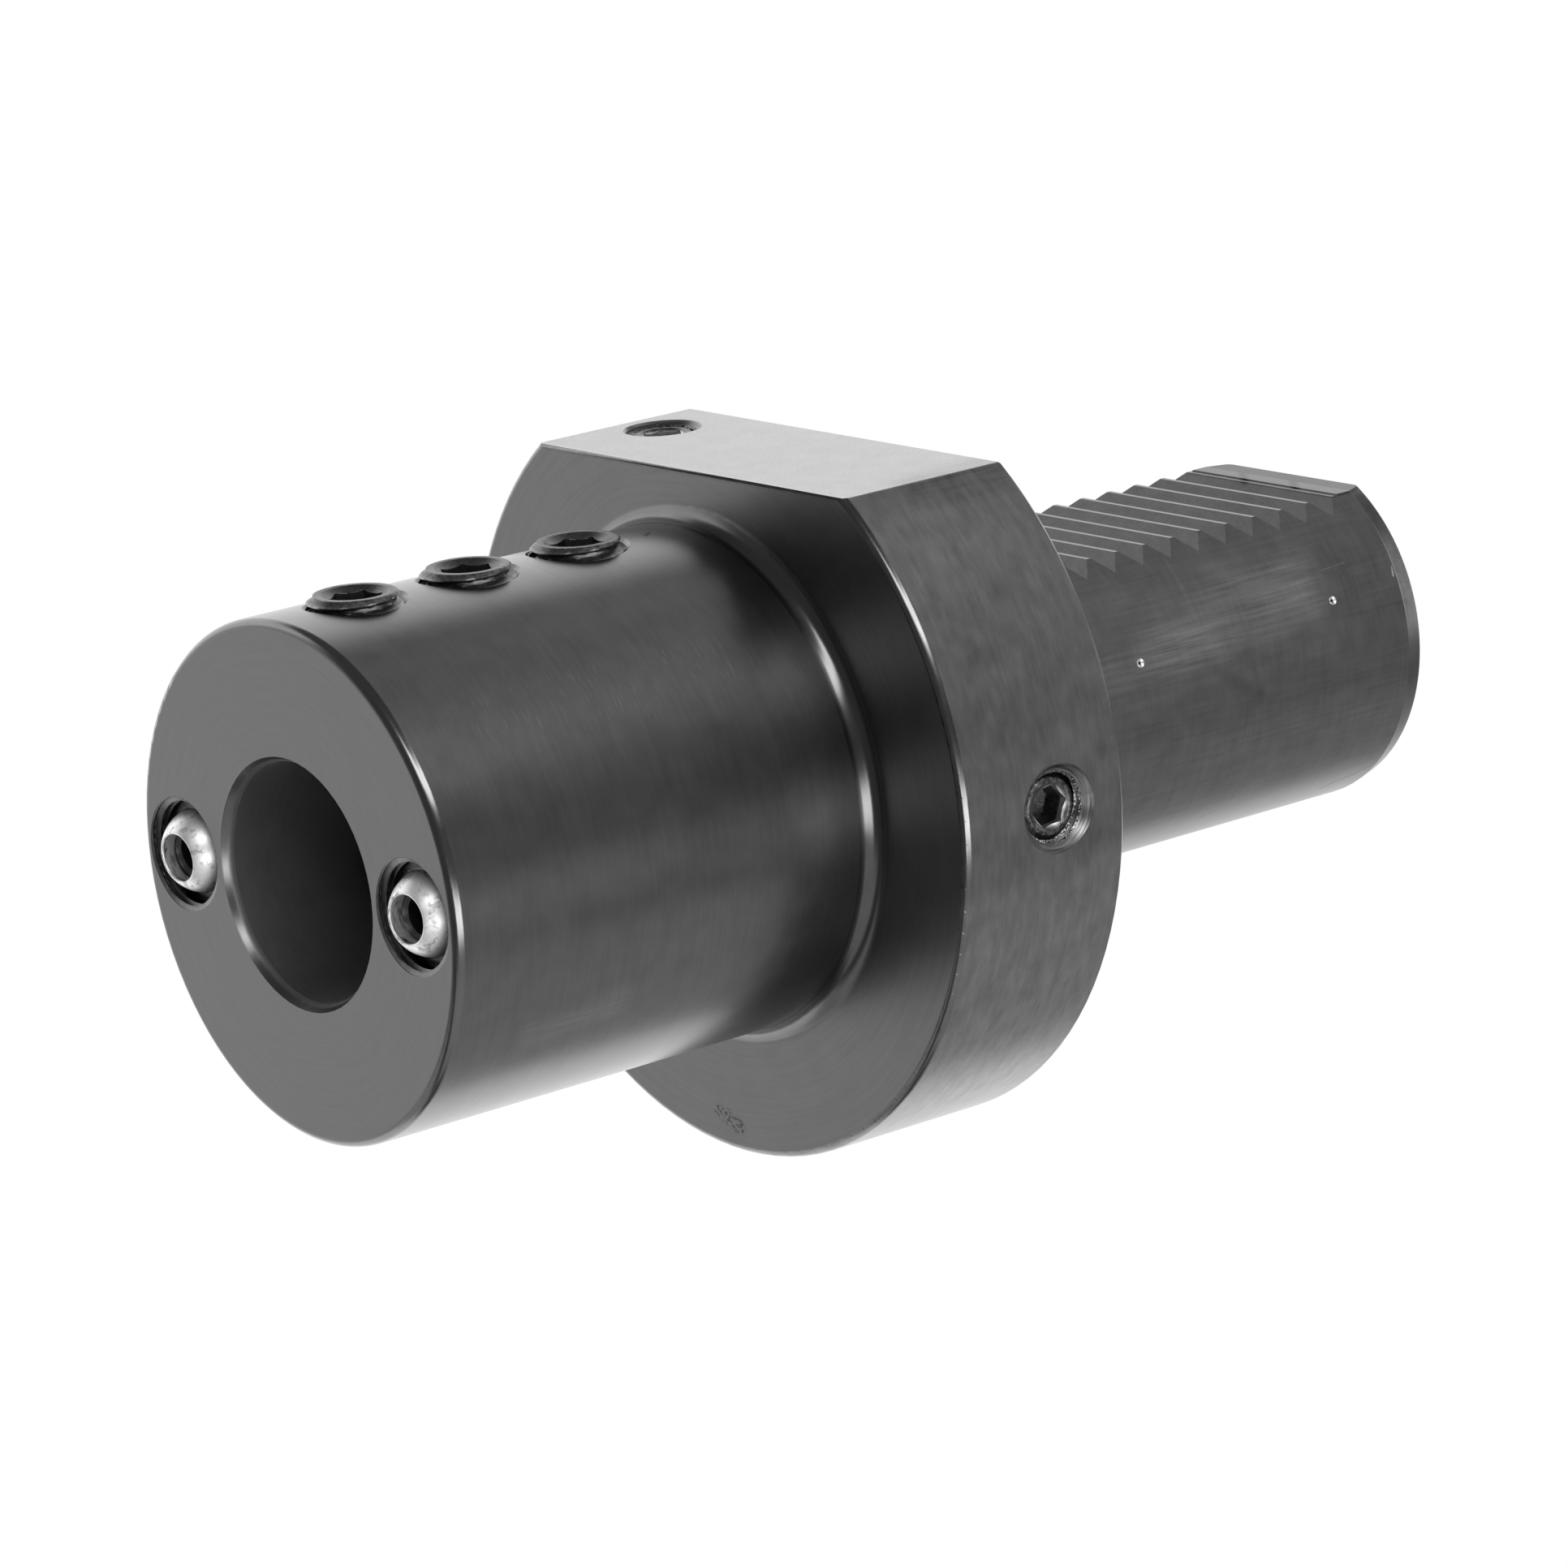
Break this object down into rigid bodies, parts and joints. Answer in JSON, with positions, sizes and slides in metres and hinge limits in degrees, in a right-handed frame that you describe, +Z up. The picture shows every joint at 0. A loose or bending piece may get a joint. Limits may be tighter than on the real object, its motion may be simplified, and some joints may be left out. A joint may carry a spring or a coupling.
{
  "type": "boring bar holder",
  "caption": "Flanged steel holder that clamps a boring bar under a row of set screws, with a toothed round shank and swivelling coolant nozzles.",
  "frame": {"origin": "centre of the flange's contact face, on the shank's axis", "axes": "+X along the shank's axis towards its free end, +Z up through the shank's teeth, the flange's flat and the clamp screws"},
  "size_m": [0.1393, 0.083, 0.0741],
  "materials": {
    "body_steel": "turned and ground steel with a dark oxide finish",
    "screw_steel": "black oxide",
    "ball_steel": "polished steel",
    "ring_steel": "turned steel",
    "rubber": "matte black rubber"
  },
  "bodies": {
    "holder": {"holder_body": "body_steel", "shank_seal_ring": "rubber", "side_plug_screw": "screw_steel", "top_plug_screw": "screw_steel", "nozzle_ring_right": "ring_steel", "nozzle_seal_right": "rubber", "nozzle_ring_left": "ring_steel", "nozzle_seal_left": "rubber"},
    "clamp_screw_front": {"clamp_screw_front": "screw_steel"},
    "clamp_screw_middle": {"clamp_screw_middle": "screw_steel"},
    "clamp_screw_rear": {"clamp_screw_rear": "screw_steel"},
    "nozzle_ball_right": {"nozzle_ball_right": "ball_steel"},
    "nozzle_ball_left": {"nozzle_ball_left": "ball_steel"}
  },
  "joints": [
    {"name": "clamp_screw_front_travel", "type": "slide", "parent": "holder", "child": "clamp_screw_front", "axis": [0, 0, -1], "range_m": [-0.003, 0.0046]},
    {"name": "clamp_screw_middle_travel", "type": "slide", "parent": "holder", "child": "clamp_screw_middle", "axis": [0, 0, -1], "range_m": [-0.003, 0.0046]},
    {"name": "clamp_screw_rear_travel", "type": "slide", "parent": "holder", "child": "clamp_screw_rear", "axis": [0, 0, -1], "range_m": [-0.003, 0.0046]},
    {"name": "nozzle_ball_right_swivel", "type": "hinge", "parent": "holder", "child": "nozzle_ball_right", "pos_m": [-0.0724, -0.02, 0], "axis": [0, 0, 1], "range_deg": [-12, 12]},
    {"name": "nozzle_ball_left_swivel", "type": "hinge", "parent": "holder", "child": "nozzle_ball_left", "pos_m": [-0.0724, 0.02, 0], "axis": [0, 0, 1], "range_deg": [-12, 12]}
  ]
}
